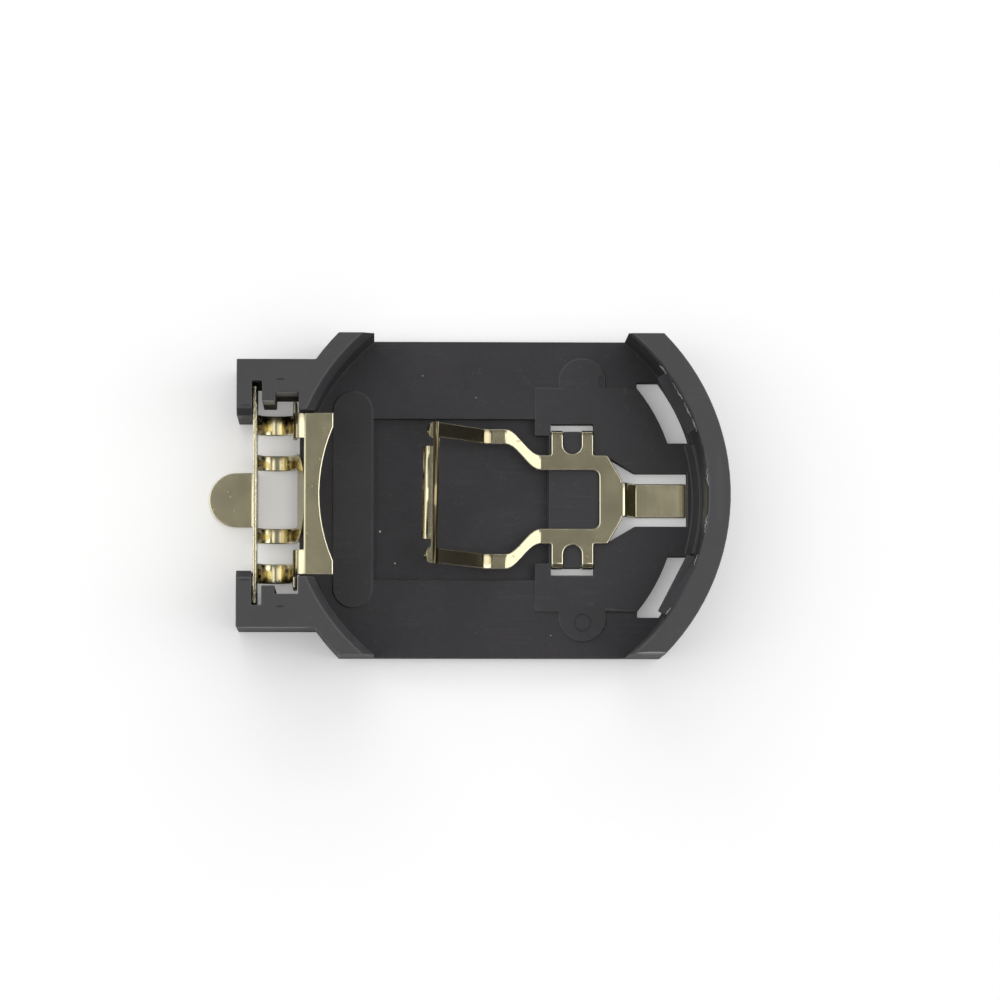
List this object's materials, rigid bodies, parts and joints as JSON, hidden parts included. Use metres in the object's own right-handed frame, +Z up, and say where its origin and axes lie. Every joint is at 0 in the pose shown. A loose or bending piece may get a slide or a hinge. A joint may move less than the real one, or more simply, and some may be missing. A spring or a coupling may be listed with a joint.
{
  "type": "coin cell holder",
  "caption": "Low open-sided holder for one flat coin cell: moulded tray with snap lips, sprung negative contact and folded positive contact, soldered flat to a board.",
  "frame": {"origin": "on the board plane, under the middle of the cell", "axes": "+X from the contact block to the arc wall with the snap lips, +Y across the open flats, +Z up from the board"},
  "size_m": [0.0262, 0.0162, 0.0052],
  "materials": {
    "housing_plastic": "satin charcoal moulding",
    "contact_metal": "thin pale gold plating on stamped spring sheet"
  },
  "bodies": {
    "root": {"housing": "housing_plastic", "positive_contact": "contact_metal", "negative_contact": "contact_metal"}
  },
  "joints": []
}
